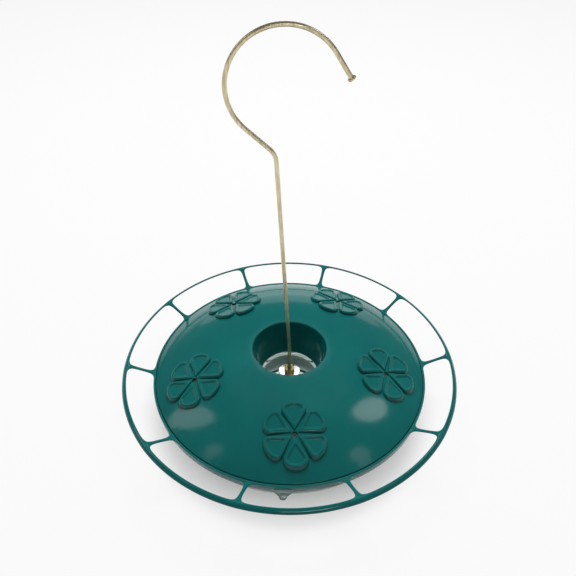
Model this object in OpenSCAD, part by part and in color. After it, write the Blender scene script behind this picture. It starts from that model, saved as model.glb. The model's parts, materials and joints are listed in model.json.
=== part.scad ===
// Hanging saucer feeder for hummingbirds: a clear bowl, a domed cover with flower ports,
// a perch ring on spokes, and a wire hook bolted through the bowl's centre boss.
// Millimetres, +Z up. The origin is on the axis, in the plane of the bowl's foot.

/* [Bowl] */
// Outside diameter of the bowl's wall
bowl_d = 157; // [138:1:176]
// Height of the flange's top face above the foot
flange_z = 22.6; // [18:0.2:34]
// Thickness of the flange and of the lift tab on it
flange_t = 1.8; // [1.2:0.1:3]
// Height of the rim above the flange
rim_h = 1.9; // [1.2:0.1:2.2]
// Thickness of the bowl's wall and floor
bowl_wall = 1.8; // [1.2:0.1:2.6]
// Radius of the rounded corner between wall and foot
bowl_corner_r = 16; // [8:0.5:18]
// How far the lift tab reaches beyond the flange
tab_reach = 5; // [3:0.5:8]
// Width of the lift tab where it leaves the flange
tab_w = 13; // [9:0.5:20]
// Radius of the lift tab's rounded tip
tab_tip_r = 2.2; // [1.5:0.1:4]
// Turn of the lift tab from the front flower, seen from above
tab_angle = -5; // [-12:1:12]

/* [Boss] */
// Height of the boss's top face above the foot
boss_z = 21; // [16:0.5:26]
// Diameter of the boss's top face
boss_d = 37.2; // [30:0.2:46]
// How much the boss widens down to the floor, in radius
boss_flare = 3.4; // [1:0.1:6]
// Thickness of the boss's top
boss_t = 2.2; // [1.6:0.1:3]

/* [Cover] */
// Radius of the dome's curve, which starts level at the centre opening
dome_r = 107.7; // [95:0.1:150]
// Thickness of the dome, its skirt and its well
cover_wall = 2; // [1.8:0.1:2.4]
// Depth of the skirt below the dome's edge
skirt_h = 2.3; // [1.9:0.1:6]
// Diameter of the centre opening
opening_d = 44.6; // [38:0.2:56]
// How far the boss's shoulder shows outside the foot of the well, in radius
shoulder = 1.2; // [0.6:0.1:2.4]

/* [Flowers] */
// Number of flower ports
port_count = 5; // [3:1:6]
// Diameter of a nectar port
port_d = 3.4; // [2.4:0.1:5]
// Number of petals in a flower
petal_count = 6; // [5:1:6]
// Width of a petal across its wide end
petal_w = 13.8; // [11:0.1:14.2]
// Radius of the wide end's two corners
petal_r = 4.2; // [3.2:0.1:4.8]
// How far the wide end's middle stands beyond those corners
petal_bulge = 0.6; // [0.4:0.1:2]
// Narrowest gap between two petals
petal_groove = 0.6; // [0.4:0.1:2]
// Radius of a petal's narrow end
petal_root_r = 0.5; // [0.3:0.1:1]
// Distance from a port's centre to the middle of a petal's narrow end
petal_root = 2.4; // [2.2:0.1:3.4]
// Height of a petal's rim above the dome at the port
petal_raise = 1.2; // [1:0.1:3]
// Width of a petal's raised rim
petal_rim = 1.7; // [1.2:0.1:2.4]
// Depth of the dish inside that rim
petal_dish = 0.8; // [0.4:0.1:1.2]
// Gap between the petals' tips and the edge of the dome
flower_edge_gap = 4.3; // [2:0.1:8]

/* [Perch] */
// Distance from the hoop's outside to the middle of the ring's bar
perch_reach = 16.5; // [10:0.5:30]
// How far the ring's bar lies above the spokes' inner ends
perch_rise = 5.9; // [2:0.1:10]
// Wide measure of the ring's bar
bar_w = 3.3; // [2.4:0.1:5]
// Narrow measure of the ring's bar
bar_t = 1.3; // [1:0.1:2.3]
// Slope of the bar's wide side, falling outwards
bar_tilt = 40; // [0:1:60]
// Number of spokes
spoke_count = 10; // [6:1:16]
// Width of a spoke
spoke_w = 2; // [1.6:0.1:3]
// Height of a spoke
spoke_t = 1.1; // [0.8:0.1:1.5]
// How far the middle of a spoke's inner end lies below the hoop's top
spoke_drop = 0.7; // [0.7:0.1:1.4]
// Radius of the webs that round the spokes' ends
web_r = 2.4; // [1:0.1:4]
// Radial width of the hoop
hoop_w = 1.3; // [1:0.1:3]
// Height of the hoop
hoop_h = 3.2; // [2.8:0.1:5]
// Thickness of the lip under the cover's skirt
lip_h = 1; // [0.8:0.1:1.8]

/* [Rod] */
// Diameter of the wire
wire_d = 2.2; // [1.6:0.1:3]
// Length of wire between the boss's top and the first slight bend
rod_foot = 20; // [14:1:30]
// Slight lean of the rod above that bend
lean_angle = 3.2; // [0:0.1:5]
// Radius of the slight bend
lean_r = 60; // [30:1:120]
// Length of the leaning run
rod_run = 123.4; // [60:0.2:200]
// Radius of the knee under the hook
knee_r = 10; // [5:0.5:20]
// Turn of the knee
knee_angle = 43.6; // [25:0.2:60]
// Length of the slanting run above the knee
slant_run = 14.8; // [6:0.2:30]
// Radius of the hook's loop at the middle of the wire
hook_r = 26.1; // [15:0.1:40]
// Turn of the hook's loop
hook_angle = 193.6; // [150:0.2:215]
// Length of the straight run at the hook's end
tip_run = 12.4; // [5:0.2:20]
// Diameter of the head on the hook's end
tip_head_d = 4; // [2.6:0.1:5]
// Thickness of that head
tip_head_h = 1.2; // [0.8:0.1:2]
// Length of wire below the wing nut
rod_tail = 1.6; // [0.5:0.1:4]

/* [Fixings] */
// Diameter of the metal washers
washer_d = 13.4; // [8:0.2:16]
// Thickness of the metal washers
washer_t = 1; // [0.6:0.1:1.6]
// Diameter of the rubber seals
seal_d = 11; // [7:0.2:14]
// Thickness of the rubber seals
seal_t = 1.2; // [0.8:0.1:2.5]
// Width across the flats of the upper nut
nut_af = 6; // [4.5:0.1:8]
// Height of the upper nut
nut_h = 2.6; // [1.6:0.1:4]
// Diameter of the wing nut's hub
hub_d = 6.6; // [5:0.1:9]
// Height of the wing nut's hub
hub_h = 4; // [3:0.1:6]
// Radius of a wing
wing_r = 3.4; // [2.5:0.1:4]
// Thickness of a wing
wing_t = 1.4; // [1:0.1:2]
// Distance from the axis to the middle of a wing's round end
wing_x = 6.2; // [5:0.1:8]
// How far that middle lies below the hub's top
wing_drop = 5; // [4:0.1:7]

/* [Fits] */
// Radial gap between the bowl's wall and the pieces that lift off it
slip = 0.4; // [0.3:0.05:0.8]
// Radial gap of the seam between the cover's edge and the hoop
seam = 0.3; // [0.25:0.05:0.8]
// Radial gap between the skirt and the bowl's rim
skirt_gap = 1.4; // [0.6:0.1:2]
// Gap between the foot of the well and the boss
well_gap = 0.4; // [0.3:0.1:1]
// Radial gap of the wire in the nuts and seals
thread_gap = 0.04; // [0.02:0.01:0.08]
// Radial gap of the wire in the washers and the boss
hole_gap = 0.25; // [0.15:0.05:0.5]
// How far the flange stays inside the hoop's outside
flange_inset = 0.3; // [0:0.1:1]

/* [Hidden] */
$fn = 96;
// direction of the front flower, seen from above
front = -90;

green = "#1f6763";
clear = [0.86, 0.9, 0.9, 0.4];
brass = "#b4a785";
steel = "#c9ccce";
rubber = "#26282a";

// overlap of solids that are joined, and overshoot of cuts
bite = 0.5;
over = 1;
// step that keeps joined round surfaces from lying in one another
hair = 0.03;

bowl_r = bowl_d / 2;
boss_r = boss_d / 2;
opening_r = opening_d / 2;
wire_r = wire_d / 2;

// radii from the bowl's wall outwards
skirt_r = bowl_r + skirt_gap;
cover_r = skirt_r + cover_wall;
hoop_in = cover_r + seam;
hoop_out = hoop_in + hoop_w;
flange_r = hoop_out - flange_inset;
perch_r = hoop_out + perch_reach;

// a petal seen from above: corners of its wide end, arc over them, and slope of its straight sides
half_turn = 180 / petal_count;
corner_y = petal_w / 2 - petal_r;
corner_x = (petal_r + petal_groove / 2 + corner_y * cos(half_turn)) / sin(half_turn);
corner_run = norm([corner_x - petal_root, corner_y]);
corner_to_tip = petal_r + petal_bulge;
petal_reach = corner_x + corner_to_tip;
end_r = (corner_to_tip * corner_to_tip + corner_y * corner_y - petal_r * petal_r) / (2 * petal_bulge);
end_x = petal_reach - end_r;
end_turn = atan2(corner_y, corner_x - end_x);
side_slope = atan2(corner_y, corner_x - petal_root) + asin((petal_r - petal_root_r) / corner_run);
port_r = cover_r - flower_edge_gap - petal_reach;

// levels from the flange upwards
skirt_z = flange_z + lip_h;
dome_edge_z = skirt_z + skirt_h;
dome_z = dome_edge_z - sqrt(dome_r * dome_r - (cover_r - opening_r) * (cover_r - opening_r));
opening_z = dome_z + dome_r;
root_z = flange_z + hoop_h - spoke_drop;
perch_z = root_z + perch_rise;
port_tilt = asin((port_r - opening_r) / dome_r);
port_z = dome_z + dome_r * cos(port_tilt);

// how far the dome falls away below the petals' tips, and how far the cuts for them reach below it
tip_tilt = asin((port_r + petal_reach - opening_r) / dome_r);
petal_sink = dome_r * (1 - cos(tip_tilt - port_tilt)) + hair;
cut_depth = petal_sink + cover_wall + over;
petal_tall = cut_depth + petal_raise + 2 * petal_reach;

// the well, from the boss upwards
well_r = boss_r - shoulder;
well_z = boss_z + well_gap;

// the clamped stack on the rod
boss_under = boss_z - boss_t;
upper_washer_z = boss_z + seal_t;
nut_z = upper_washer_z + washer_t;
lower_washer_z = boss_under - seal_t - washer_t;
rod_end_z = lower_washer_z - hub_h - rod_tail;

// a spoke rises from the hoop to the ring
spoke_x0 = hoop_out - bite;
spoke_run = perch_r - spoke_x0;

// half section of a pan with a round lower corner
module pan(r, h, corner) {
    square([r - corner, h]);
    translate([0, corner]) square([r, h - corner]);
    intersection() {
        translate([r - corner, corner]) circle(corner);
        square([r, h]);
    }
}

// flat ring on the axis with its lower face at z
module disc(d, bore_r, z, t) {
    translate([0, 0, z]) difference() {
        cylinder(d = d, h = t);
        translate([0, 0, -over]) cylinder(r = bore_r, h = t + 2 * over);
    }
}

// bowl: saucer, flange, lift tab and hollow centre boss
module bowl_section() {
    rim_z = flange_z + rim_h;
    difference() {
        pan(bowl_r, rim_z, bowl_corner_r);
        translate([0, bowl_wall]) pan(bowl_r - bowl_wall, rim_z, bowl_corner_r - bowl_wall);
    }
    translate([bowl_r - bite, flange_z - flange_t]) square([flange_r - bowl_r + bite, flange_t]);
    base_z = bowl_wall / 2;
    polygon([[0, base_z], [boss_r + boss_flare, base_z], [boss_r, boss_z], [0, boss_z]]);
}

module boss_hollow() {
    base_r = boss_r + boss_flare - bowl_wall;
    polygon([[0, -over], [base_r, -over], [base_r, 0], [boss_r - bowl_wall, boss_under], [0, boss_under]]);
}

module lift_tab() {
    tip_x = flange_r + tab_reach - tab_tip_r;
    translate([0, 0, flange_z - flange_t]) rotate([0, 0, front + tab_angle]) linear_extrude(flange_t) {
        polygon([
            [bowl_r, tab_w / 2], [flange_r - bite, tab_w / 2], [tip_x, tab_tip_r],
            [tip_x, -tab_tip_r], [flange_r - bite, -tab_w / 2], [bowl_r, -tab_w / 2]
        ]);
        translate([tip_x, 0]) circle(tab_tip_r);
    }
}

module bowl() {
    color(clear) difference() {
        union() {
            rotate_extrude() bowl_section();
            lift_tab();
        }
        rotate_extrude() boss_hollow();
        translate([0, 0, boss_under - over]) cylinder(r = wire_r + hole_gap, h = boss_t + 2 * over);
    }
}

// wire: each run or bend carries what follows on its end, and a run laps over its neighbours
module run(length) {
    lap = bite / 2;
    translate([0, 0, -lap]) cylinder(r = wire_r, h = length + 2 * lap);
    translate([0, 0, length]) children();
}

// turn towards -X for a positive angle and towards +X for a negative one
module bend(r, turn) {
    side = turn > 0 ? 1 : -1;
    translate([-side * r, 0, 0]) {
        rotate([90, 0, 0]) mirror([side < 0 ? 1 : 0, 0, 0]) rotate_extrude(angle = abs(turn))
            translate([r, 0]) circle(wire_r - hair);
        rotate([0, -turn, 0]) translate([side * r, 0, 0]) children();
    }
}

module hanging_rod() {
    color(brass) translate([0, 0, rod_end_z])
        run(boss_z + rod_foot - rod_end_z)
        bend(lean_r, lean_angle)
        run(rod_run)
        bend(knee_r, knee_angle)
        run(slant_run)
        bend(hook_r, -hook_angle)
        run(tip_run)
        cylinder(d = tip_head_d, h = tip_head_h);
}

// clamped stack on the rod's foot
module upper_nut() {
    color(brass) translate([0, 0, nut_z]) difference() {
        cylinder(d = nut_af / cos(30), h = nut_h, $fn = 6);
        translate([0, 0, -over]) cylinder(r = wire_r + thread_gap, h = nut_h + 2 * over);
    }
}

module upper_washer() {
    color(steel) disc(washer_d, wire_r + hole_gap, upper_washer_z, washer_t);
}

module upper_seal() {
    color(rubber) disc(seal_d, wire_r + thread_gap, boss_z, seal_t);
}

module lower_seal() {
    color(rubber) disc(seal_d, wire_r + thread_gap, boss_under - seal_t, seal_t);
}

module lower_washer() {
    color(steel) disc(washer_d, wire_r + hole_gap, lower_washer_z, washer_t);
}

module wing() {
    rotate([90, 0, 0]) translate([0, 0, -wing_t / 2]) linear_extrude(wing_t) {
        translate([wing_x, -wing_drop]) circle(wing_r);
        polygon([
            [0, -hub_h], [0, -bite], [hub_d / 2, -bite], [wing_x, -wing_drop + wing_r], [wing_x, -wing_drop]
        ]);
    }
}

module wing_nut() {
    color(brass) translate([0, 0, lower_washer_z]) difference() {
        union() {
            translate([0, 0, -hub_h]) cylinder(d = hub_d, h = hub_h);
            wing();
            mirror([1, 0, 0]) wing();
        }
        translate([0, 0, -hub_h - over]) cylinder(r = wire_r + thread_gap, h = hub_h + 2 * over);
    }
}

// perch ring: hoop with an inner lip, spokes, and the bar that the birds sit on
module hoop() {
    rotate_extrude() {
        translate([hoop_in, flange_z]) square([hoop_w, hoop_h]);
        translate([bowl_r + slip, flange_z]) square([hoop_in - bowl_r - slip + bite, lip_h]);
    }
}

module bar() {
    flat = bar_w - bar_t;
    rotate_extrude() translate([perch_r, perch_z]) rotate(-bar_tilt) {
        square([flat, bar_t], center = true);
        translate([flat / 2, 0]) circle(d = bar_t);
        translate([-flat / 2, 0]) circle(d = bar_t);
    }
}

// flat web with two hollow sides, from the foot at x = 0 out to web_r
module web() {
    half = spoke_w / 2 + web_r;
    translate([0, 0, -spoke_t / 2]) linear_extrude(spoke_t) difference() {
        translate([-bite, -half]) square([web_r + bite, 2 * half]);
        translate([web_r, half]) circle(web_r);
        translate([web_r, -half]) circle(web_r);
    }
}

module spoke() {
    flat = spoke_w - spoke_t;
    translate([spoke_x0, 0, root_z]) rotate([0, 90 - atan(perch_rise / spoke_run), 0])
        linear_extrude(norm([spoke_run, perch_rise])) {
            square([spoke_t, flat], center = true);
            translate([0, flat / 2]) circle(d = spoke_t);
            translate([0, -flat / 2]) circle(d = spoke_t);
        }
    translate([hoop_out, 0, root_z]) web();
    translate([perch_r - bar_t / 2, 0, perch_z]) rotate([0, 0, 180]) web();
}

module perch_ring() {
    color(green) {
        hoop();
        bar();
        for (i = [0 : spoke_count - 1])
            rotate([0, 0, front + (i + 0.5) * 360 / spoke_count]) spoke();
    }
}

// cover: dome, skirt, well and flower ports
module cover_section() {
    intersection() {
        translate([opening_r, dome_z]) difference() {
            circle(dome_r);
            circle(dome_r - cover_wall);
        }
        translate([opening_r, skirt_z]) square([cover_r - opening_r, dome_r]);
    }
    inside_tilt = asin((skirt_r - opening_r) / (dome_r - cover_wall));
    dome_in_z = dome_z + (dome_r - cover_wall) * cos(inside_tilt);
    translate([skirt_r, skirt_z]) square([cover_wall, dome_in_z + bite - skirt_z]);
    polygon([
        [opening_r, opening_z], [well_r, well_z], [well_r + cover_wall, well_z],
        [opening_r + cover_wall, opening_z - cover_wall / 2]
    ]);
}

// frame of one flower: on the dome's surface, Z upright, X downhill
module at_ports() {
    for (i = [0 : port_count - 1])
        rotate([0, 0, front + i * 360 / port_count]) translate([port_r, 0, port_z]) children();
}

// upright petals between two levels over the slope of the dome at the port
module petals(inset, low, high) {
    intersection() {
        for (i = [0 : petal_count - 1])
            rotate([0, 0, i * 360 / petal_count]) translate([0, 0, -petal_tall])
                linear_extrude(2 * petal_tall) petal_plan(inset);
        rotate([0, port_tilt, 0]) translate([-petal_tall, -petal_tall, low])
            cube([2 * petal_tall, 2 * petal_tall, high - low]);
    }
}

// a petal's outline drawn in by a margin, with its narrow end moved out until its sides stay parallel
module petal_plan(inset) {
    root_x = petal_root + inset / sin(side_slope);
    side_x = -sin(side_slope);
    side_y = cos(side_slope);
    root_in = petal_root_r - hair;
    corner_in = petal_r - inset - hair;
    wedge_x = 2 * end_r * cos(end_turn);
    wedge_y = 2 * end_r * sin(end_turn);
    translate([root_x, 0]) circle(petal_root_r);
    translate([corner_x, corner_y]) circle(petal_r - inset);
    translate([corner_x, -corner_y]) circle(petal_r - inset);
    polygon([
        [root_x + root_in * side_x, root_in * side_y],
        [root_x + root_in * side_x, -root_in * side_y],
        [corner_x + corner_in * side_x, -corner_y - corner_in * side_y],
        [corner_x + bite, -corner_y],
        [corner_x + bite, corner_y],
        [corner_x + corner_in * side_x, corner_y + corner_in * side_y]
    ]);
    // the arc over the wide end, between the directions of its two corners
    intersection() {
        translate([end_x, 0]) circle(end_r - inset - hair);
        translate([end_x, 0]) polygon([[0, 0], [wedge_x, -wedge_y], [2 * end_r, 0], [wedge_x, wedge_y]]);
    }
}

module cover() {
    hollow_top = petal_raise - petal_dish - cover_wall;
    color(green) difference() {
        union() {
            rotate_extrude() cover_section();
            at_ports() petals(0, -petal_sink, petal_raise);
        }
        at_ports() {
            petals(petal_rim, petal_raise - petal_dish, petal_raise + over);
            petals(cover_wall, -cut_depth, hollow_top);
            translate([0, 0, -cut_depth]) cylinder(d = port_d, h = cut_depth + petal_raise + over);
        }
    }
}

bowl();
hanging_rod();
upper_nut();
upper_washer();
upper_seal();
lower_seal();
lower_washer();
wing_nut();
perch_ring();
cover();
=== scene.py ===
"""Looks of the hummingbird feeder: rounded mouldings, bent wire, fixings, materials and a studio.

Shapes are worked out in millimetres in the CAD's own frame, and meshes are written in metres.
"""
import json
from math import asin, atan, atan2, ceil, cos, hypot, pi, radians, sin, sqrt, tan

import bmesh
import bpy
from mathutils import Matrix, Vector
from mathutils.geometry import delaunay_2d_cdt

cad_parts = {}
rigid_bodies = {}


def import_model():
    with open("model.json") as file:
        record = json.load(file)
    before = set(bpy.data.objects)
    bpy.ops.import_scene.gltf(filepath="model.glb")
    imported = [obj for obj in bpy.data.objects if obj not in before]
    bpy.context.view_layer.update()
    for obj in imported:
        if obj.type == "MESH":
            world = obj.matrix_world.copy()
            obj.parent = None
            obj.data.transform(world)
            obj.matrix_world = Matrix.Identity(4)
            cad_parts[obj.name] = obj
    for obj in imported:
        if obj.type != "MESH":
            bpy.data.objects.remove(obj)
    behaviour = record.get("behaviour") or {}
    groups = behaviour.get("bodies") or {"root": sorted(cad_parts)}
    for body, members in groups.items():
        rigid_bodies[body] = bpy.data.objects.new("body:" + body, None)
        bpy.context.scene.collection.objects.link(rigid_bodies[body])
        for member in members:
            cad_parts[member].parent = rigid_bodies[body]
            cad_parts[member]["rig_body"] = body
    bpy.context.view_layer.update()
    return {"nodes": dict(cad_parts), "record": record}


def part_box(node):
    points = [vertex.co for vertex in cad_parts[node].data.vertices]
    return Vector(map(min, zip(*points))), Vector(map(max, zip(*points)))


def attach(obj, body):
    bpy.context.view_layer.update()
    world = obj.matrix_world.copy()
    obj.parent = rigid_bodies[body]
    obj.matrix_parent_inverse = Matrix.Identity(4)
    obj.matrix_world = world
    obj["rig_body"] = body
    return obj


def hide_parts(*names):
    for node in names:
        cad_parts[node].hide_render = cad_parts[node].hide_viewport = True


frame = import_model()

MM = 0.001
FRONT = radians(-90)
# points nearer to each other than this are one: along an outline, and in a finished mesh
SAME_SPOT = 1e-5
WELD = 0.02


def place(node):
    """A node's lowest and highest corners, in millimetres."""
    low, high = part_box(node)
    return low / MM, high / MM


bowl_high = place("bowl")[1]
rod_low = place("hanging_rod")[0]
ring_low, ring_high = place("perch_ring")
cover_low, cover_high = place("cover")

# cover
PORTS = 5
DOME_R = 107.7
COVER_WALL = 2.0
COVER_R = cover_high.x
SKIRT_R = COVER_R - COVER_WALL
FLANGE_Z = ring_low.z
LIP_H = 1.0
SKIRT_Z = FLANGE_Z + LIP_H
SKIRT_H = 2.3
DOME_EDGE_Z = SKIRT_Z + SKIRT_H
OPENING_R = 22.3
DOME_Z = DOME_EDGE_Z - sqrt(DOME_R ** 2 - (COVER_R - OPENING_R) ** 2)
WELL_R = 17.4
WELL_Z = cover_low.z

# flowers: a petal has a narrow round end, straight sides, and a wide end with two round corners
# under an arc
PETALS = 6
PETAL_W = 13.8
PETAL_CORNER = 4.2
PETAL_BULGE = 0.6
PETAL_GROOVE = 0.6
PETAL_ROOT = 2.5
PETAL_ROOT_R = 0.4
PETAL_RAISE = 1.2
PETAL_RIM = 2.2
PETAL_DISH = 0.8
EDGE_GAP = 4.3
PORT_HOLE_R = 1.7
CORNER_Y = PETAL_W / 2 - PETAL_CORNER
CORNER_X = (PETAL_CORNER + PETAL_GROOVE / 2 + CORNER_Y * cos(pi / PETALS)) / sin(pi / PETALS)
PETAL_REACH = CORNER_X + PETAL_CORNER + PETAL_BULGE
END_R = ((PETAL_CORNER + PETAL_BULGE) ** 2 + CORNER_Y ** 2 - PETAL_CORNER ** 2) / (2 * PETAL_BULGE)
END_X = PETAL_REACH - END_R
END_TURN = atan2(CORNER_Y, CORNER_X - END_X)
SIDE_TURN = (atan2(CORNER_Y, CORNER_X - PETAL_ROOT)
             + asin((PETAL_CORNER - PETAL_ROOT_R) / hypot(CORNER_X - PETAL_ROOT, CORNER_Y)))
PORT_R = COVER_R - EDGE_GAP - PETAL_REACH

# perch ring
SPOKES = 10
HOOP_GAP = 0.3
HOOP_T = 1.3
HOOP_H = 3.2
ROOT_H = 2.5
HOOP_IN = COVER_R + HOOP_GAP
HOOP_OUT = HOOP_IN + HOOP_T
HOOP_TOP = FLANGE_Z + HOOP_H
ROOT_Z = FLANGE_Z + ROOT_H
LIP_R = 78.9
BAR_W = 3.3
BAR_T = 1.3
BAR_TILT = radians(40)
BAR_FLAT = BAR_W - BAR_T
BAR_R = ring_high.x - BAR_FLAT / 2 * cos(BAR_TILT) - BAR_T / 2
BAR_Z = ring_high.z - BAR_FLAT / 2 * sin(BAR_TILT) - BAR_T / 2

# bowl
BOWL_R = 78.5
BOWL_WALL = 1.8
BOWL_CORNER = 16.0
FLANGE_R = bowl_high.x
FLANGE_T = 1.8
TAB_REACH = 5.0
TAB_END = FLANGE_R + TAB_REACH
TAB_TURN = radians(-5)
TAB_W = 13.0
TAB_TIP_R = 2.2
BOSS_R = 18.6
BOSS_FLARE = 3.4
BOSS_Z = place("upper_seal")[0].z
BOSS_UNDER = place("lower_seal")[1].z
BOSS_HOLE_R = 1.35

# wire, in the XZ plane: each bend has a radius and a turn, to -X where the turn is positive
WIRE_R = 1.1
ROD_FOOT = 20.0
LEAN_R, LEAN_TURN = 60.0, radians(3.2)
ROD_RUN = 123.4
KNEE_R, KNEE_TURN = 10.0, radians(43.6)
SLANT_RUN = 14.8
HOOK_R, HOOK_TURN = 26.1, radians(-193.6)
TIP_RUN = 12.4
HEAD_R, HEAD_H = 2.0, 1.2
THREAD_PITCH, THREAD_DEPTH, THREAD_TOP = 0.5, 0.16, 30.0


class Skin:
    """Points with their normals, and the faces between them."""

    def __init__(self):
        self.points, self.ways, self.faces = [], [], []

    def add(self, points, ways, faces):
        start = len(self.points)
        self.points += points
        self.ways += ways
        self.faces += [[start + k for k in face] for face in faces]

    def mesh(self, name):
        """One mesh in metres, welded where its parts meet and shaded by the given normals."""
        made = bare_mesh(name, self.points, self.faces)
        way = made.attributes.new("way", "FLOAT_VECTOR", "POINT")
        way.data.foreach_set("vector", [c for w in self.ways for c in w.normalized()])
        welded = bmesh.new()
        welded.from_mesh(made)
        bmesh.ops.remove_doubles(welded, verts=welded.verts, dist=WELD * MM)
        welded.to_mesh(made)
        welded.free()
        made.shade_smooth()
        ways = [Vector(w.vector) for w in made.attributes["way"].data]
        made.attributes.remove(made.attributes["way"])
        made.normals_split_custom_set_from_vertices(ways)
        return made


def bare_mesh(name, points, faces):
    made = bpy.data.meshes.new(name)
    made.from_pydata([Vector(p) * MM for p in points], [], faces)
    return made


def creased(mesh, degrees):
    """Shades a mesh smooth, apart from edges that turn by more than the crease."""
    mesh.shade_smooth()
    mesh.set_sharp_from_angle(angle=radians(degrees))
    return mesh


def stand(name, data):
    """A new object in the scene."""
    made = bpy.data.objects.new(name, data)
    bpy.context.scene.collection.objects.link(made)
    return made


def rounded(corners, closed=True, step=radians(15)):
    """An outline with its corners as arcs: (point, outward normal) along a counter-clockwise run.

    A corner is (x, y, radius), and an open run's two ends are plain points.
    """
    run = []

    def put(point, normal):
        if not run or (run[-1][0] - point).length > SAME_SPOT:
            run.append((point, normal))

    spots = [Vector(corner[:2]) for corner in corners]
    for i, spot in enumerate(spots):
        ends = not closed and i in (0, len(spots) - 1)
        before, after = spots[i - 1], spots[(i + 1) % len(spots)]
        if ends:
            way = (after - spot if i == 0 else spot - before).normalized()
            put(spot, Vector((way.y, -way.x)))
            continue
        way_in, way_out = (spot - before).normalized(), (after - spot).normalized()
        turn = atan2(way_in.cross(way_out), way_in.dot(way_out))
        radius = corners[i][2]
        start = spot - way_in * radius * tan(abs(turn) / 2)
        side = Vector((-way_in.y, way_in.x)) * (radius if turn > 0 else -radius)
        steps = max(1, ceil(abs(turn) / step))
        for k in range(steps + 1):
            bent = Matrix.Rotation(turn * k / steps, 2)
            put(start + side - bent @ side, bent @ Vector((way_in.y, -way_in.x)))
    if closed and (run[0][0] - run[-1][0]).length < SAME_SPOT:
        run.pop()
    return run


def wrapped(columns, rows, closed=True):
    """Faces between columns of points that go all the way round an axis."""
    faces = []
    for i in range(columns):
        here, there = i * rows, (i + 1) % columns * rows
        for j in range(rows if closed else rows - 1):
            k = (j + 1) % rows
            faces.append((here + j, there + j, there + k, here + k))
    return faces


def capped(rings, sides):
    """Faces between rings of points, with a flat face at each end."""
    faces = []
    for i in range(rings - 1):
        near, far = i * sides, (i + 1) * sides
        for m in range(sides):
            n = (m + 1) % sides
            faces.append((near + m, near + n, far + n, far + m))
    faces.append(tuple(reversed(range(sides))))
    faces.append(tuple(range((rings - 1) * sides, rings * sides)))
    return faces


def turned(skin, outline, angles, closed=True, grow=None):
    """Turns an outline of radius and height about the Z axis.

    grow(angle, radius) gives extra radius and its slope.
    """
    points, ways = [], []
    for angle in angles:
        out = Vector((cos(angle), sin(angle), 0))
        along = Vector((-sin(angle), cos(angle), 0))
        for spot, normal in outline:
            extra, slope = grow(angle, spot.x) if grow else (0, 0)
            points.append(out * (spot.x + extra) + Vector((0, 0, spot.y)))
            ways.append((out - along * slope) * normal.x + Vector((0, 0, normal.y)))
    skin.add(points, ways, wrapped(len(angles), len(outline), closed))


def round_angles(count, start=0.0):
    return [start + 2 * pi * k / count for k in range(count)]


def smooth(t):
    t = min(max(t, 0.0), 1.0)
    return t * t * (3 - 2 * t)


# Finishes
def combined(tree, operation, one, other):
    """Two values put together by a math node."""
    made = tree.nodes.new("ShaderNodeMath")
    made.operation = operation
    tree.links.new(one, made.inputs[0])
    tree.links.new(other, made.inputs[1])
    return made.outputs[0]


def scaled(tree, value, start, end, low, high):
    """A value that runs from low to high while the given one runs from start to end."""
    made = tree.nodes.new("ShaderNodeMapRange")
    tree.links.new(value, made.inputs["Value"])
    limits = {"From Min": start, "From Max": end, "To Min": low, "To Max": high}
    for socket, number in limits.items():
        made.inputs[socket].default_value = number
    return made.outputs["Result"]


class Finish:
    """A material whose colour, roughness and bump come from noise in the object's own space."""

    def __init__(self, name, **constants):
        self.material = bpy.data.materials.new(name)
        self.material.use_nodes = True
        self.tree = self.material.node_tree
        self.shader = self.tree.nodes["Principled BSDF"]
        for socket, value in constants.items():
            self.shader.inputs[socket.replace("_", " ")].default_value = value
        self.space = self.node("ShaderNodeTexCoord").outputs["Object"]

    def node(self, kind, **inputs):
        made = self.tree.nodes.new(kind)
        for socket, value in inputs.items():
            self.feed(made.inputs[socket.replace("_", " ")], value)
        return made

    def feed(self, socket, value):
        if isinstance(value, bpy.types.NodeSocket):
            self.tree.links.new(value, socket)
        else:
            socket.default_value = value

    def noise(self, grain, detail=3.0, stretch=(1, 1, 1)):
        """Noise with grains of a size in millimetres, drawn out along an axis by a stretch."""
        space = self.node("ShaderNodeMapping", Vector=self.space, Scale=[1 / s for s in stretch])
        return self.node("ShaderNodeTexNoise", Vector=space.outputs[0], Scale=1 / (grain * MM),
                         Detail=detail).outputs["Fac"]

    def between(self, value, low, high, start=0.3, end=0.7):
        return scaled(self.tree, value, start, end, low, high)

    def colour(self, value, low, high, start=0.35, end=0.65):
        ramp = self.node("ShaderNodeValToRGB", Fac=value)
        for stop, spot, tint in zip(ramp.color_ramp.elements, (start, end), (low, high)):
            stop.position = spot
            stop.color = (*tint, 1)
        self.feed(self.shader.inputs["Base Color"], ramp.outputs["Color"])

    def roughness(self, value, low, high):
        self.feed(self.shader.inputs["Roughness"], self.between(value, low, high))

    def bump(self, *layers):
        """Layers of (height, depth in millimetres)."""
        normal = None
        for height, depth in layers:
            node = self.node("ShaderNodeBump", Height=height, Distance=depth * MM, Strength=1.0)
            if normal:
                self.feed(node.inputs["Normal"], normal)
            normal = node.outputs["Normal"]
        self.feed(self.shader.inputs["Normal"], normal)

    def mix(self, share, other):
        """Puts another shader's node in the place of the main one, by a share."""
        both = self.node("ShaderNodeMixShader", Fac=share)
        self.feed(both.inputs[1], self.shader.outputs[0])
        self.feed(both.inputs[2], other.outputs[0])
        self.feed(self.tree.nodes["Material Output"].inputs["Surface"], both.outputs[0])


def green_plastic():
    """Glossy moulded plastic with slow flow marks, faint scuffs and a little orange peel."""
    made = Finish("green_plastic", IOR=1.46, Specular_IOR_Level=0.36)
    flow = made.noise(38, 4)
    scuff = made.noise(2.2, 5, stretch=(1, 6, 1))
    made.colour(flow, (0.002, 0.140, 0.134), (0.004, 0.160, 0.152))
    made.roughness(scuff, 0.09, 0.15)
    made.bump((made.noise(5, 2), 0.012), (made.noise(0.5, 2), 0.0012))
    return made.material


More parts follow.
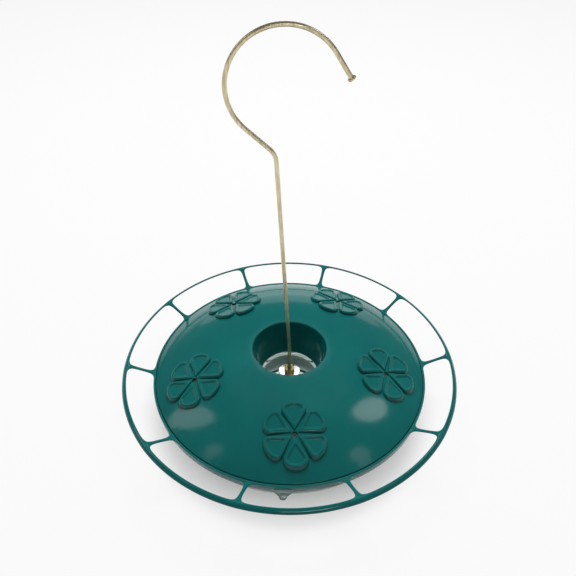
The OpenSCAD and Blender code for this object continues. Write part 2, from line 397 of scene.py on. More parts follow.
def clear_plastic():
    """Clear moulding with faint flow lines and a green tint, partly its own and partly a painted
    reflection of the cover. Light for shadows passes straight through it.
    """
    made = Finish("clear_plastic", IOR=1.49, Transmission_Weight=1.0)
    # the green tint is partly the plastic's own and partly a painted reflection of the green cover
    # above the bowl
    made.colour(made.noise(25, 3), (0.76, 0.92, 0.88), (0.84, 0.95, 0.92))
    made.roughness(made.noise(6, 4), 0.02, 0.06)
    made.bump((made.noise(9, 3), 0.02))
    pass_through = made.node("ShaderNodeBsdfTransparent", Color=(0.7, 0.76, 0.75, 1))
    made.mix(made.node("ShaderNodeLightPath").outputs["Is Shadow Ray"], pass_through)
    return made.material


def brass_wire():
    """Pale brass plating drawn along the wire, with dull specks."""
    made = Finish("brass_wire", Metallic=1.0)
    drawn = made.noise(0.7, 4, stretch=(1, 1, 14))
    made.colour(drawn, (0.52, 0.44, 0.27), (0.76, 0.67, 0.46))
    made.roughness(made.noise(3, 5), 0.28, 0.44)
    made.bump((drawn, 0.02), (made.noise(0.25, 2), 0.006))
    return made.material


def brass_nut():
    """Machined brass with fine turning marks and a little tarnish."""
    made = Finish("brass_nut", Metallic=1.0)
    made.colour(made.noise(1.6, 5), (0.44, 0.29, 0.10), (0.66, 0.49, 0.21))
    made.roughness(made.noise(0.6, 4), 0.22, 0.38)
    made.bump((made.noise(0.15, 2, stretch=(8, 8, 1)), 0.008))
    return made.material


def steel_washer():
    """Bright plated steel with fine scratches."""
    made = Finish("steel_washer", Metallic=1.0)
    made.colour(made.noise(2.5, 4), (0.58, 0.60, 0.63), (0.80, 0.81, 0.82))
    made.roughness(made.noise(0.9, 5, stretch=(5, 1, 1)), 0.1, 0.24)
    made.bump((made.noise(0.3, 3, stretch=(6, 1, 1)), 0.006))
    return made.material


def rubber_seal():
    """Matte black rubber with a fine grain and pale bloom."""
    made = Finish("rubber_seal", Specular_IOR_Level=0.3)
    made.colour(made.noise(1.8, 5), (0.012, 0.013, 0.013), (0.03, 0.031, 0.031))
    made.roughness(made.noise(0.8, 4), 0.6, 0.8)
    made.bump((made.noise(0.2, 3), 0.02))
    return made.material


FINISHES = {
    finish.__name__: finish()
    for finish in (green_plastic, clear_plastic, brass_wire, brass_nut, steel_washer, rubber_seal)
}
SLOTS = {part["node"]: part["material_slot"] for part in frame["record"]["subparts"]}


def piece(name, mesh, node):
    """An object with the node's finish, which rides on the node's body and stands for the node."""
    made = stand(name, mesh)
    mesh.materials.append(FINISHES[SLOTS[node]])
    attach(made, frame["nodes"][node]["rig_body"])
    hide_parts(node)
    return made


# Cover. A point's u and v run downhill and across in plan, from a port's middle. A flower is drawn
# on the dome's slope at its port, so that in plan it is shorter downhill.
PORT_Z = DOME_Z + sqrt(DOME_R ** 2 - (PORT_R - OPENING_R) ** 2)
FALL = (PORT_R - OPENING_R) / (PORT_Z - DOME_Z)
UPRIGHT = hypot(1, FALL)
SECTOR = 2 * pi / PORTS
SECTOR_COLUMNS = 48
PORT_COLUMNS = 24
# the width of a petal's rounded wall, and the shares of it that have a line of points
WALL_W = 1.3
WALL_LINES = (-0.05, 0, 0.03, 0.09, 0.18, 0.31, 0.48, 0.7, 1)
# half the widths of the sloping edges of a petal's dish and of the hollow under it
DISH_EDGE = 0.7
HOLLOW_EDGE = 0.3
PORT_EDGE = 0.12
# what lies nearer to zero than this is zero, in a net of points
TINY = 1e-6


def depth(u, v, inset=0.0):
    """How deep a point lies inside the nearest petal's outline, drawn in by an inset.

    Outside it, the depth is negative.
    """
    u *= UPRIGHT
    turn = round(atan2(v, u) / (2 * pi / PETALS)) * 2 * pi / PETALS
    along = u * cos(turn) + v * sin(turn)
    across = abs(v * cos(turn) - u * sin(turn))
    if atan2(across, along - END_X) < END_TURN:
        return END_R - inset - hypot(along - END_X, across)
    side = Vector((cos(SIDE_TURN), sin(SIDE_TURN)))
    from_corner = Vector((along - CORNER_X, across - CORNER_Y))
    if from_corner.dot(side) > 0:
        return PETAL_CORNER - inset - from_corner.length
    from_root = Vector((along - PETAL_ROOT - inset / side.y, across))
    if from_root.dot(side) < 0:
        return PETAL_ROOT_R - from_root.length
    return PETAL_ROOT_R - side.cross(from_root)


def on_dome(radius, r):
    """Radius and height of a point on one of the dome's curves, which are level at the opening."""
    return r, DOME_Z + sqrt(radius ** 2 - (r - OPENING_R) ** 2)


def dome_height(u, v, radius):
    return on_dome(radius, hypot(PORT_R + u, v))[1]


def level_height(u, level):
    """Height of a plane at a level over the dome's slope at the port."""
    return PORT_Z - FALL * u + level * UPRIGHT


def top_height(u, v):
    """Height of the cover's outside."""
    base = dome_height(u, v, DOME_R)
    wall = min(max(depth(u, v) / WALL_W, 0), 1)
    rise = sqrt(wall * (2 - wall))
    dip = smooth(0.5 + depth(u, v, PETAL_RIM) / (2 * DISH_EDGE))
    return base + rise * (level_height(u, PETAL_RAISE) - base) - dip * PETAL_DISH * UPRIGHT


def under_height(u, v):
    """Height of the cover's inside, with a hollow under each petal."""
    base = dome_height(u, v, DOME_R - COVER_WALL)
    hollow = smooth(0.5 + depth(u, v, COVER_WALL) / (2 * HOLLOW_EDGE))
    return base + hollow * (level_height(u, PETAL_RAISE - PETAL_DISH - COVER_WALL) - base)


def petal_loop(inset, deeper):
    """Points on the slope round a petal's outline drawn in by an inset, at a depth inside it."""
    end, corner = END_R - inset - deeper, PETAL_CORNER - inset - deeper
    root = PETAL_ROOT_R - deeper
    root_x = PETAL_ROOT + inset / sin(SIDE_TURN)
    side_way = pi / 2 + SIDE_TURN

    def arc(x, y, radius, start, stop, steps):
        turns = [start + (stop - start) * k / steps for k in range(steps + 1)]
        return [Vector((x + radius * cos(a), y + radius * sin(a))) for a in turns]

    half = arc(END_X, 0, end, 0, END_TURN, 6)[:-1]
    half += arc(CORNER_X, CORNER_Y, corner, END_TURN, side_way, 7)
    if root > 0:
        tip = arc(root_x, 0, root, side_way, pi, 2)
    else:
        tip = [Vector((root_x - root / sin(SIDE_TURN), 0))]
    half += [half[-1].lerp(tip[0], k / 4) for k in (1, 2, 3)] + tip
    return half + [Vector((p.x, -p.y)) for p in reversed(half) if p.y > TINY]


def sector_net(inner, outer, loops, spacing=3.4):
    """Triangles of one sector between two radii, in plan, with edges along the loops.

    Returns (u, v) points and faces. The loops are (inset, depth) of petals, and the port is left
    open. Plain points fill the rest, clear of the petals and the port.
    """
    petal_clear, port_clear = 1.0, 1.5
    spots, edges, borders = [], [], []

    def line(points, names):
        """A closed line, with the borders that each of its points lies on."""
        start = len(spots)
        spots.extend(points)
        borders.extend(names)
        edges.extend((start + k, start + (k + 1) % len(points)) for k in range(len(points)))

    def at(r, angle):
        return Vector((r * cos(angle) - PORT_R, r * sin(angle)))

    half = SECTOR / 2
    arc = [SECTOR * (k / SECTOR_COLUMNS - 0.5) for k in range(SECTOR_COLUMNS + 1)]
    count = round((outer - inner) / spacing)
    rows = [inner + (outer - inner) * k / count for k in range(1, count)]
    rim = [(at(inner, a), {"inner"}) for a in arc] + [(at(r, half), {"right"}) for r in rows]
    rim += [(at(outer, a), {"outer"}) for a in reversed(arc)]
    rim += [(at(r, -half), {"left"}) for r in reversed(rows)]
    for spot, name in ((0, "left"), (-len(rows), "left"), (SECTOR_COLUMNS, "right")):
        rim[spot][1].add(name)
    rim[len(arc) + len(rows)][1].add("right")
    rim[2 * len(arc) + len(rows) - 1][1].add("left")
    line([spot for spot, _ in rim], [name for _, name in rim])
    port_r = PORT_HOLE_R + PORT_EDGE
    port = [port_r * Vector((cos(a), sin(a))) for a in round_angles(PORT_COLUMNS)]
    line(port, [{"port"}] * len(port))
    to_plan = Matrix(((1 / UPRIGHT, 0), (0, 1)))
    for inset, deeper in loops:
        shape = petal_loop(inset, deeper)
        for turn in round_angles(PETALS):
            line([to_plan @ Matrix.Rotation(turn, 2) @ p for p in shape], [set()] * len(shape))
    for r in rows:
        across = round(r * SECTOR / spacing)
        for k in range(across):
            spot = at(r, SECTOR * ((k + 0.5) / across - 0.5))
            if depth(*spot) < -petal_clear and spot.length > PORT_HOLE_R + port_clear:
                spots.append(spot)
                borders.append(set())
    net, _, faces, sources, _, _ = delaunay_2d_cdt(spots, edges, [], 0, TINY, True)
    names = [set().union(*(borders[k] for k in source)) for source in sources]
    kept = [face for face in faces if not set.intersection(*(names[k] for k in face))]
    return net, kept


def add_at_ports(skin, points, ways, faces):
    """Repeats what is drawn at one port round the cover."""
    for angle in round_angles(PORTS, FRONT):
        spin = Matrix.Rotation(angle, 3, "Z")
        skin.add([spin @ p for p in points], [spin @ w for w in ways], faces)


def add_sheet(skin, net, height, up):
    """Lifts a sector's net to its height, and repeats it round the cover."""
    spots, faces = net
    nudge = 0.02
    points, ways = [], []
    for u, v in spots:
        points.append(Vector((PORT_R + u, v, height(u, v))))
        slope_u = (height(u + nudge, v) - height(u - nudge, v)) / (2 * nudge)
        slope_v = (height(u, v + nudge) - height(u, v - nudge)) / (2 * nudge)
        ways.append(Vector((-slope_u, -slope_v, 1)) * up)
    if up < 0:
        faces = [face[::-1] for face in faces]
    add_at_ports(skin, points, ways, faces)


def add_port(skin, inside_r):
    """A port's bore is drawn upright, as thick as the wall, and set between the dome's faces."""
    edge_r, corner_r = PORT_HOLE_R + PORT_EDGE, PORT_EDGE * 0.9
    bore = rounded([
        (edge_r, COVER_WALL), (PORT_HOLE_R, COVER_WALL, corner_r),
        (PORT_HOLE_R, 0, corner_r), (edge_r, 0)
    ], closed=False, step=radians(30))
    port = Skin()
    turned(port, bore, round_angles(PORT_COLUMNS), closed=False)
    for spot, way in zip(port.points, port.ways):
        top, under = (dome_height(spot.x, spot.y, radius) for radius in (DOME_R, inside_r))
        spot.x, spot.z = PORT_R + spot.x, under + (top - under) * spot.z / COVER_WALL
        way.x += FALL * way.z
    add_at_ports(skin, port.points, port.ways, port.faces)


def cover_mesh():
    skin = Skin()
    inside_r = DOME_R - COVER_WALL
    # turned bands of these widths lie between the sheets with the flowers and the cover's edges
    lip_band, lip_band_under, skirt_band = 3.2, 5.2, 3.0
    top_in, top_out = OPENING_R + lip_band, COVER_R - skirt_band
    under_in, under_out = OPENING_R + lip_band_under, SKIRT_R - skirt_band
    walls = [(0, WALL_W * share) for share in WALL_LINES]
    dishes = [(PETAL_RIM, DISH_EDGE * k / 4) for k in range(-4, 5)]
    hollows = [(COVER_WALL, HOLLOW_EDGE * k / 2) for k in range(-2, 3)]
    add_sheet(skin, sector_net(top_in, top_out, walls + dishes), top_height, 1)
    add_sheet(skin, sector_net(under_in, under_out, hollows), under_height, -1)
    lip_round, well_round, skirt_round, eaves_round, dome_round = 1.0, 0.4, 0.35, 0.6, 0.8
    well_out, lip_under_r = WELL_R + COVER_WALL, OPENING_R + 1.75
    opening_z = on_dome(DOME_R, OPENING_R)[1]
    lip = rounded([
        on_dome(DOME_R, top_in), (OPENING_R, opening_z, lip_round),
        (WELL_R, WELL_Z, well_round), (well_out, WELL_Z, well_round),
        (lip_under_r, opening_z - COVER_WALL, lip_round), on_dome(inside_r, under_in)
    ], closed=False)
    skirt = rounded([
        on_dome(inside_r, under_out), (*on_dome(inside_r, SKIRT_R), eaves_round),
        (SKIRT_R, SKIRT_Z, skirt_round), (COVER_R, SKIRT_Z, skirt_round),
        (COVER_R, DOME_EDGE_Z, dome_round), on_dome(DOME_R, top_out)
    ], closed=False)
    columns = round_angles(PORTS * SECTOR_COLUMNS, FRONT - SECTOR / 2)
    turned(skin, lip, columns, closed=False)
    turned(skin, skirt, columns, closed=False)
    add_port(skin, inside_r)
    return skin.mesh("cover")


piece("flower_cover", cover_mesh(), "cover")


# Perch ring: a coarse cage of quads under a subdivision surface
def perch_cage():
    points, faces = [], []
    # from a sharp edge of the ring to the nearest points of the cage
    gap = 0.22
    # degrees from a spoke's middle to the columns of points at it
    spread = [-2.47, -1.03, 0.0, 1.03, 2.47]
    step = 360 / SPOKES
    plain = 10
    between = [spread[-1] + (step + spread[0] - spread[-1]) * k / plain for k in range(1, plain)]
    block = len(spread) + len(between)
    middles = [FRONT + 2 * pi * (i + 0.5) / SPOKES for i in range(SPOKES)]
    angles = [middle + radians(a) for middle in middles for a in spread + between]

    def revolve(outline, rows):
        """Turns a closed outline, leaving a hole at each spoke over four rows of faces.

        Returns what gives a point's number.
        """
        start = len(points)
        count = len(outline)
        for angle in angles:
            points.extend((r * cos(angle), r * sin(angle), z) for r, z in outline)

        def number(i, j):
            return start + i % len(angles) * count + j % count

        for i in range(len(angles)):
            for j in range(count):
                if not (i % block < len(spread) - 1 and j in rows):
                    faces.append((number(i, j), number(i + 1, j),
                                  number(i + 1, j + 1), number(i, j + 1)))
        return number

    foot = [(LIP_R + gap, FLANGE_Z), (HOOP_IN - 1, FLANGE_Z),
            (HOOP_OUT - gap, FLANGE_Z), (HOOP_OUT, FLANGE_Z + gap)]
    root = [(HOOP_OUT, ROOT_Z + h) for h in (-0.72, -0.4, -0.1, 0.2)]
    root.append((HOOP_OUT, HOOP_TOP - gap))
    top = [(HOOP_OUT - gap, HOOP_TOP), ((HOOP_IN + HOOP_OUT) / 2, HOOP_TOP),
           (HOOP_IN + gap, HOOP_TOP)]
    inside = [(HOOP_IN, HOOP_TOP - gap), (HOOP_IN, SKIRT_Z + gap), (HOOP_IN - gap, SKIRT_Z),
              (LIP_R + gap, SKIRT_Z), (LIP_R, SKIRT_Z - gap), (LIP_R, FLANGE_Z + gap)]
    root_rows = range(len(foot), len(foot) + len(root))
    hoop = revolve(foot + root + top + inside, root_rows[:-1])

    sides = 8
    # a subdivided ring of points draws in by this share, so the cage is larger by it
    fullness = 3 / (2 + cos(2 * pi / sides))
    tilt = Matrix.Rotation(-BAR_TILT, 2)
    section = []
    for a in round_angles(sides):
        across = tilt @ Vector((BAR_W * cos(a), BAR_T * sin(a)))
        section.append(Vector((BAR_R, BAR_Z)) + across * fullness / 2)
    tip_rows = range(3, 8)
    bar = revolve(section, tip_rows[:-1])

    start = Vector((HOOP_OUT, ROOT_Z))
    end = section[5]
    # along a spoke: share of its length, half width and half height
    rings = [(0.06, 2.1, 0.62), (0.14, 1.4, 0.58), (0.26, 1.06, 0.55), (0.5, 0.98, 0.55),
             (0.74, 1.06, 0.55), (0.86, 1.4, 0.56), (0.94, 2.1, 0.56)]
    around = 4 * (len(spread) - 1)
    # how full a spoke's section stays, and how far it leans back as it rises
    snug, lean = 0.93, 0.3

    def hole(number, first, rows):
        """Points round a hole: along its foot, up its right side, back along its top and down."""
        across = range(first, first + len(spread))
        foot_row, *sides_up, top_row = rows
        return ([number(i, foot_row) for i in across] + [number(across[-1], j) for j in sides_up]
                + [number(i, top_row) for i in reversed(across)]
                + [number(first, j) for j in reversed(sides_up)])

    for i, middle in enumerate(middles):
        out = Vector((cos(middle), sin(middle), 0))
        along = Vector((-sin(middle), cos(middle), 0))
        loops = [hole(hoop, i * block, root_rows)]
        for t, wide, high in rings:
            r = start.x + (end.x - start.x) * t
            z = start.y + (end.y - start.y) * (0.6 * t + 0.4 * smooth(t))
            loops.append(range(len(points), len(points) + around))
            for a in round_angles(around, radians(-135)):
                lift = high * fullness * snug * sin(a)
                aside = along * wide * cos(a)
                points.append(out * (r - lift * lean) + aside + Vector((0, 0, z + lift)))
        loops.append(hole(bar, i * block, tip_rows[::-1]))
        for near, far in zip(loops, loops[1:]):
            for m in range(around):
                n = (m + 1) % around
                faces.append((near[m], near[n], far[n], far[m]))
    return points, faces


perch_mesh = bare_mesh("perch_ring", *perch_cage())
perch_mesh.shade_smooth()
perch = piece("perch_moulding", perch_mesh, "perch_ring")
rounding = perch.modifiers.new("rounding", "SUBSURF")
rounding.levels = rounding.render_levels = 2


# Bowl
def tab_edge(angle):
    """Radius of the flange's edge at an angle from the tab's middle, with its flanks and tip."""
    angle = abs(angle)
    clear_of_tab, sunk = radians(10), 0.5
    if angle > clear_of_tab:
        return FLANGE_R
    tip = TAB_END - TAB_TIP_R
    base = FLANGE_R - sunk
    flank = TAB_W / 2 - base * tan(angle)
    flank /= TAB_W / 2 - TAB_TIP_R + (tip - base) * tan(angle)
    edge = max(FLANGE_R, (base + (tip - base) * min(flank, 1)) / cos(angle))
    across = tip * sin(angle)
    if across < TAB_TIP_R:
        edge = max(edge, tip * cos(angle) + sqrt(TAB_TIP_R ** 2 - across ** 2))
    return edge


def bowl_grow(angle, radius):
    """Extra radius of the flange's edge, and its slope. The rest of the bowl stays round."""
    edge_band = 0.7
    if radius < FLANGE_R - edge_band:
        return 0, 0
    turn = (angle - FRONT - TAB_TURN + pi) % (2 * pi) - pi
    nudge = radians(0.1)
    slope = (tab_edge(turn + nudge) - tab_edge(turn - nudge)) / (2 * nudge * FLANGE_R)
    return tab_edge(turn) - FLANGE_R, slope


def bowl_mesh():
    rim_z = bowl_high.z
    wall_in = BOWL_R - BOWL_WALL
    flange_under = FLANGE_Z - FLANGE_T
    boss_slope = BOSS_FLARE / (BOSS_Z - BOWL_WALL / 2)
    floor_r = BOSS_R + boss_slope * (BOSS_Z - BOWL_WALL)
    hole_round, boss_round, foot_round, floor_round = 0.2, 1.0, 0.6, 1.2
    flange_round, seat_round, rim_round = 0.5, 0.3, 0.6
    outline = rounded([
        (BOSS_HOLE_R, BOSS_UNDER, hole_round), (BOSS_R - BOWL_WALL, BOSS_UNDER, boss_round),
        (BOSS_R + BOSS_FLARE - BOWL_WALL, 0, foot_round), (BOWL_R, 0, BOWL_CORNER),
        (BOWL_R, flange_under, flange_round), (FLANGE_R, flange_under, flange_round),
        (FLANGE_R, FLANGE_Z, flange_round), (BOWL_R, FLANGE_Z, seat_round),
        (BOWL_R, rim_z, rim_round), (wall_in, rim_z, rim_round),
        (wall_in, BOWL_WALL, BOWL_CORNER - BOWL_WALL), (floor_r, BOWL_WALL, floor_round),
        (BOSS_R, BOSS_Z, boss_round), (BOSS_HOLE_R, BOSS_Z, hole_round)
    ])
    # degrees from the tab's middle: small steps over the tab, and larger ones round the rest
    fine = [k * 0.2 for k in range(-27, 28)]
    coarse = [k * 3 for k in range(2, 119)]
    skin = Skin()
    angles = [FRONT + TAB_TURN + radians(a) for a in fine + coarse]
    turned(skin, outline, angles, grow=bowl_grow)
    return skin.mesh("bowl")


piece("clear_bowl", bowl_mesh(), "bowl")


# Hanging rod
def wire_path():
    """(place, direction, length so far) of points along the wire's middle."""
    spot, turn, gone = Vector((0, 0, rod_low.z)), 0.0, 0.0
    path = []

    def note():
        path.append((spot.copy(), Vector((-sin(turn), 0, cos(turn))), gone))

    def run(length, step):
        nonlocal spot, gone
        count = max(1, round(length / step))
        for _ in range(count):
            note()
            spot += Vector((-sin(turn), 0, cos(turn))) * length / count
            gone += length / count

    def bend(radius, angle, step=radians(4)):
        nonlocal spot, turn, gone
        count = max(1, round(abs(angle) / step))
        side = radius if angle > 0 else -radius
        centre = spot - Vector((cos(turn), 0, sin(turn))) * side
        for k in range(count):
            note()
            turn += angle / count
            spot = centre + Vector((cos(turn), 0, sin(turn))) * side
            gone += abs(angle) * radius / count

    run(THREAD_TOP - rod_low.z, step=THREAD_PITCH / 6)
    run(BOSS_Z + ROD_FOOT - THREAD_TOP, step=4)
    bend(LEAN_R, LEAN_TURN, step=radians(1))
    run(ROD_RUN, step=6)
    bend(KNEE_R, KNEE_TURN)
    run(SLANT_RUN, step=3)
    bend(HOOK_R, HOOK_TURN)
    run(TIP_RUN, step=0.2)
    note()
    return path


def wire_radius(gone, around, end):
    """Radius of the wire: threaded foot with a pointed start, plain run, and grips at the head."""
    if gone < THREAD_TOP - rod_low.z:
        point_cut, point_run, fade_run = 0.3, 0.5, 2
        phase = (gone / THREAD_PITCH - around / (2 * pi)) % 1
        fade = smooth((THREAD_TOP - rod_low.z - gone) / fade_run)
        start = point_cut * (1 - min(gone / point_run, 1))
        return WIRE_R - start - THREAD_DEPTH * fade * (1 - abs(2 * phase - 1))
    from_end = end - gone
    grip_start, grip_end, grip_pitch, grip_depth = 0.8, 4.4, 0.9, 0.09
    if grip_start < from_end < grip_end:
        mark = (from_end - grip_start) / grip_pitch % 1
        return WIRE_R - grip_depth * max(0, sin(mark * 2 * pi)) * abs(cos(around))
    return WIRE_R


def rod_mesh():
    sides = 20
    around = round_angles(sides)
    path = wire_path()
    last, way, end = path[-1]
    rings = []
    for spot, ahead, gone in path:
        rings.append((spot, ahead, [wire_radius(gone, a, end) for a in around]))
    # the head: height above the wire's end, and radius
    for rise, radius in (
        (0, 1.25), (0.05, 1.75), (0.25, HEAD_R - 0.04), (0.5, HEAD_R), (0.8, HEAD_R - 0.02),
        (1.02, HEAD_R - 0.16), (1.15, HEAD_R - 0.5), (HEAD_H, HEAD_R - 1.1),
    ):
        rings.append((last + way * rise, way, [radius] * sides))
    points = []
    across = Vector((0, 1, 0))
    for spot, ahead, radii in rings:
        up = ahead.cross(across)
        points += [spot + (across * cos(a) + up * sin(a)) * r for a, r in zip(around, radii)]
    return creased(bare_mesh("hanging_rod", points, capped(len(rings), sides)), 50)


piece("wire_hook", rod_mesh(), "hanging_rod")


# Clamped stack on the rod's foot
def disc(name, node, bore, edge):
    """A flat washer with rounded edges in its node's place."""
    low, high = place(node)
    skin = Skin()
    outline = rounded([
        (bore, low.z, edge), (high.x, low.z, edge), (high.x, high.z, edge), (bore, high.z, edge)
    ])
    turned(skin, outline, round_angles(72))
    piece(name, skin.mesh(node), node)


THREAD_BORE = WIRE_R + 0.04
WASHER_BORE = WIRE_R + 0.25
SEAL_ROUND, WASHER_ROUND = 0.3, 0.28
disc("upper_seal_ring", "upper_seal", THREAD_BORE, SEAL_ROUND)
disc("upper_washer_ring", "upper_washer", WASHER_BORE, WASHER_ROUND)
disc("lower_seal_ring", "lower_seal", THREAD_BORE, SEAL_ROUND)
disc("lower_washer_ring", "lower_washer", WASHER_BORE, WASHER_ROUND)


def hex_nut_mesh():
    """A hexagon with both ends cut to cones, and countersunk thread mouths."""
    low, high = place("upper_nut")
    flat, cone_slope, face_share, sink = high.y, tan(radians(60)), 0.94, 0.35
    middle, half = (low.z + high.z) / 2, (high.z - low.z) / 2
    levels = [-half + 0.1 * k for k in range(6)]
    levels += [-z for z in reversed(levels)]
    columns = 72
    points = []
    for angle in round_angles(columns):
        hexagon = flat / cos((angle + pi / 6) % (pi / 3) - pi / 6)
        rows = [(THREAD_BORE, -half + sink), (THREAD_BORE + sink, -half)]
        for z in levels:
            rows.append((min(hexagon, flat * face_share + (half - abs(z)) * cone_slope), z))
        rows += [(THREAD_BORE + sink, half), (THREAD_BORE, half - sink)]
        points += [(r * cos(angle), r * sin(angle), middle + z) for r, z in rows]
    faces = wrapped(columns, len(points) // columns)
    return creased(bare_mesh("upper_nut", points, faces), 25)


piece("hex_nut", hex_nut_mesh(), "upper_nut")

HUB_H = 4.0


def wing_plate(side):
    """One wing: an outline in XZ made into a plate with round edges."""
    low, high = place("wing_nut")
    hub_r, top, half, edge = high.y, high.z, 0.7, 0.5
    wing_r = 3.4
    reach, foot = high.x, low.z
    inner = reach - 2 * wing_r
    # where the wing starts inside the hub, and how far its ends lie below the hub's top
    start, drop, under_drop = 0.9, 0.5, 4.4
    outline = rounded([
        (start, top - HUB_H, 0.2), (inner, top - under_drop, 0.5), (inner, foot, wing_r),
        (reach, foot, wing_r), (reach, foot + 2 * wing_r, wing_r), (hub_r, top - drop, 1.2),
        (start, top - drop, 0.2)
    ])
    profile = []
    for a in (pi / 2 * k / 4 for k in range(5)):
        profile.append((edge * (1 - cos(a)), half - edge + edge * sin(a)))
    profile = [(inset, -y) for inset, y in reversed(profile)] + profile
    points = []
    for inset, y in profile:
        points += [(side * (p.x - n.x * inset), -side * y, p.y - n.y * inset) for p, n in outline]
    return bare_mesh("wing", points, capped(len(profile), len(outline)))


def wing_nut_mesh():
    """Hub and two wings joined to one solid."""
    high = place("wing_nut")[1]
    hub_r, top = high.y, high.z
    taper, mouth_round, hub_round = 0.5, 0.3, 0.4
    skin = Skin()
    outline = rounded([
        (THREAD_BORE, top - HUB_H, mouth_round), (hub_r - taper, top - HUB_H, hub_round),
        (hub_r, top, hub_round), (THREAD_BORE, top, mouth_round)
    ])
    turned(skin, outline, round_angles(64))
    hub = stand("hub", skin.mesh("hub"))
    wings = [stand("wing", wing_plate(side)) for side in (1, -1)]
    for wing in wings:
        union = hub.modifiers.new("union", "BOOLEAN")
        union.operation = "UNION"
        union.object = wing
    bpy.context.view_layer.update()
    solid = hub.evaluated_get(bpy.context.evaluated_depsgraph_get())
    made = bpy.data.meshes.new_from_object(solid)
    for helper in (hub, *wings):
        bpy.data.objects.remove(helper)
    made.name = "wing_nut"
    return creased(made, 35)


piece("winged_nut", wing_nut_mesh(), "wing_nut")


# Camera, fitted to the photograph: the perch ring's middle lies at this pixel of a square picture
PICTURE = 576
FOCAL = 597.764
ELEVATION = 0.81677
DISTANCE = 372.109
AIM_X, AIM_Y = 290.089, 361.582
ROLL = 0.0094181
FEEDER_TURN = radians(3.17465)
SENSOR = 36.0


def swing(a, b, angle):
    """Two square axes turned in their own plane."""
    return a * cos(angle) + b * sin(angle), b * cos(angle) - a * sin(angle)


def add_camera():
    right = Vector((1, 0, 0))
    ahead = Vector((0, cos(ELEVATION), -sin(ELEVATION)))
    down = ahead.cross(right)
    spot = Vector((0, 0, BAR_Z)) - ahead * DISTANCE
    right, ahead = swing(right, ahead, atan((AIM_X - PICTURE / 2) / FOCAL))
    down, ahead = swing(down, ahead, atan((AIM_Y - PICTURE / 2) / FOCAL))
    right, down = swing(right, down, -ROLL)
    seat = Matrix((right, -down, -ahead)).transposed().to_4x4()
    seat.translation = spot * MM
    lens = bpy.data.cameras.new("camera")
    lens.sensor_width = SENSOR
    lens.lens = FOCAL / PICTURE * SENSOR
    lens.clip_start = 0.01
    made = stand("camera", lens)
    made.matrix_world = Matrix.Rotation(-FEEDER_TURN, 4, "Z") @ seat
    bpy.context.scene.camera = made


add_camera()


# Studio, in metres
def add_floor():
    """A plain pale floor, of which a part is seen as plain white.

    That part lies away from the feeder. Through glass it also lies under the bowl's boss, as a
    painted pool of light on floor that the feeder shades.
    """
    half, sink, whiteness = 3.0, -0.0001, 0.85
    mesh = bpy.data.meshes.new("floor")
    corners = [(-half, -half, sink), (half, -half, sink), (half, half, sink), (-half, half, sink)]
    mesh.from_pydata(corners, [], [(0, 1, 2, 3)])
    made = stand("floor", mesh)
    paint = Finish("floor", Base_Color=(0.9, 0.9, 0.9, 1), Roughness=0.9, Specular_IOR_Level=0.0)
    path = paint.node("ShaderNodeLightPath").outputs
    away = paint.node("ShaderNodeVectorMath")
    away.operation = "LENGTH"
    paint.feed(away.inputs[0], paint.space)

    def either(one, other):
        return combined(paint.tree, "MAXIMUM", one, other)

    def seen_white(rays, start, end):
        """The share of white for such rays, which sets in between two distances."""
        share = paint.between(away.outputs["Value"], 0, whiteness, start, end)
        return combined(paint.tree, "MULTIPLY", rays, share)

    # a ray through glass counts as a glossy one too
    through_glass = path["Is Transmission Ray"]
    mirrored = combined(paint.tree, "SUBTRACT", path["Is Glossy Ray"], through_glass)
    plain = seen_white(either(path["Is Camera Ray"], mirrored), start=0.055, end=0.095)
    through = seen_white(through_glass, start=0.085, end=0.12)
    # painted light: seen through glass, the shaded floor under the boss glows white
    painted_glow_under_boss = seen_white(through_glass, start=0.027, end=0.016)
    share = either(plain, either(through, painted_glow_under_boss))
    paint.mix(share, paint.node("ShaderNodeEmission"))
    mesh.materials.append(paint.material)


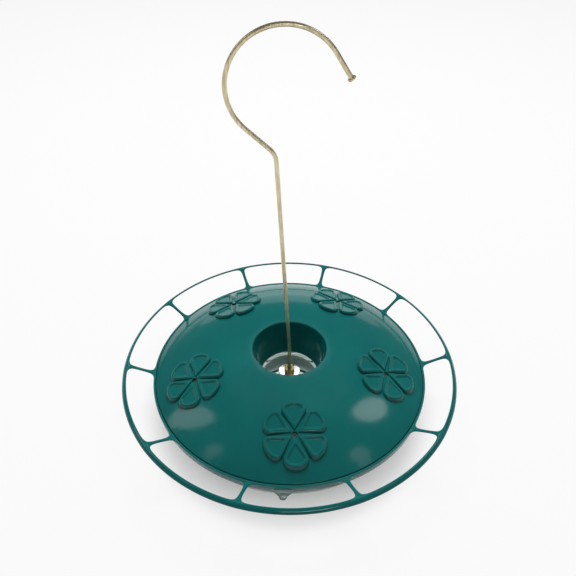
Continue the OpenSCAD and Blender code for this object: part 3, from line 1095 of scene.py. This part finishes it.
def add_backdrop():
    """Dim plain light from all round, which is seen as plain white.

    Gloss mirrors that white only low down, behind the floor's end.
    """
    dim, mirror_full, mirror_none = 0.18, 0.04, 0.12
    world = bpy.data.worlds.new("backdrop")
    world.use_nodes = True
    tree = world.node_tree
    sky = tree.nodes["Background"]
    sky.inputs["Color"].default_value = (1.0, 1.0, 1.0, 1)
    path = tree.nodes.new("ShaderNodeLightPath").outputs
    way = tree.nodes.new("ShaderNodeSeparateXYZ")
    tree.links.new(tree.nodes.new("ShaderNodeTexCoord").outputs["Generated"], way.inputs[0])
    low_down = scaled(tree, way.outputs["Z"], mirror_full, mirror_none, 1, 0)
    mirrored = combined(tree, "MULTIPLY", path["Is Glossy Ray"], low_down)
    seen = combined(tree, "MAXIMUM", path["Is Camera Ray"], path["Is Transmission Ray"])
    glow = scaled(tree, combined(tree, "MAXIMUM", seen, mirrored), 0, 1, dim, 1)
    tree.links.new(glow, sky.inputs["Strength"])
    bpy.context.scene.world = world


LAMP_AIM = Vector((0, 0, 0.03))


def add_softbox(name, spot, size, glow, mirrored):
    """An oval lamp that faces the feeder, and either lights it or is only mirrored in it.

    A white surface has a glow of 1.
    """
    lamp = bpy.data.lights.new(name, "AREA")
    lamp.shape = "ELLIPSE"
    lamp.size, lamp.size_y = size
    lamp.energy = glow * pi * (pi / 4 * size[0] * size[1])
    made = stand(name, lamp)
    made.location = spot
    made.rotation_euler = (LAMP_AIM - Vector(spot)).to_track_quat("-Z", "Y").to_euler()
    made.visible_glossy, made.visible_diffuse = mirrored, not mirrored


def add_light():
    add_softbox("key_box", (0.05, 0.48, 1.07), (1.0, 0.7), 6.8, mirrored=False)
    for name, spot, size, glow in (
        ("back", (0.041, 0.79, 0.88), (0.22, 0.14), 3),
        ("low_back", (0.07, 1.3, 0.27), (1.5, 0.34), 0.75),
        ("left", (-0.81, 0.16, 0.74), (0.24, 0.56), 2.4),
        ("right", (0.67, 0.15, 0.86), (0.26, 0.38), 4.4),
        ("front", (0.15, -0.95, 0.7), (0.6, 0.12), 9),
        ("left_front", (-0.76, -0.26, 0.92), (0.16, 0.24), 1.1),
        ("right_front", (0.69, -0.38, 0.92), (0.2, 0.26), 1.4),
    ):
        add_softbox(name + "_box", spot, size, glow, mirrored=True)


add_floor()
add_backdrop()
add_light()
bpy.context.scene.view_settings.view_transform = "Standard"
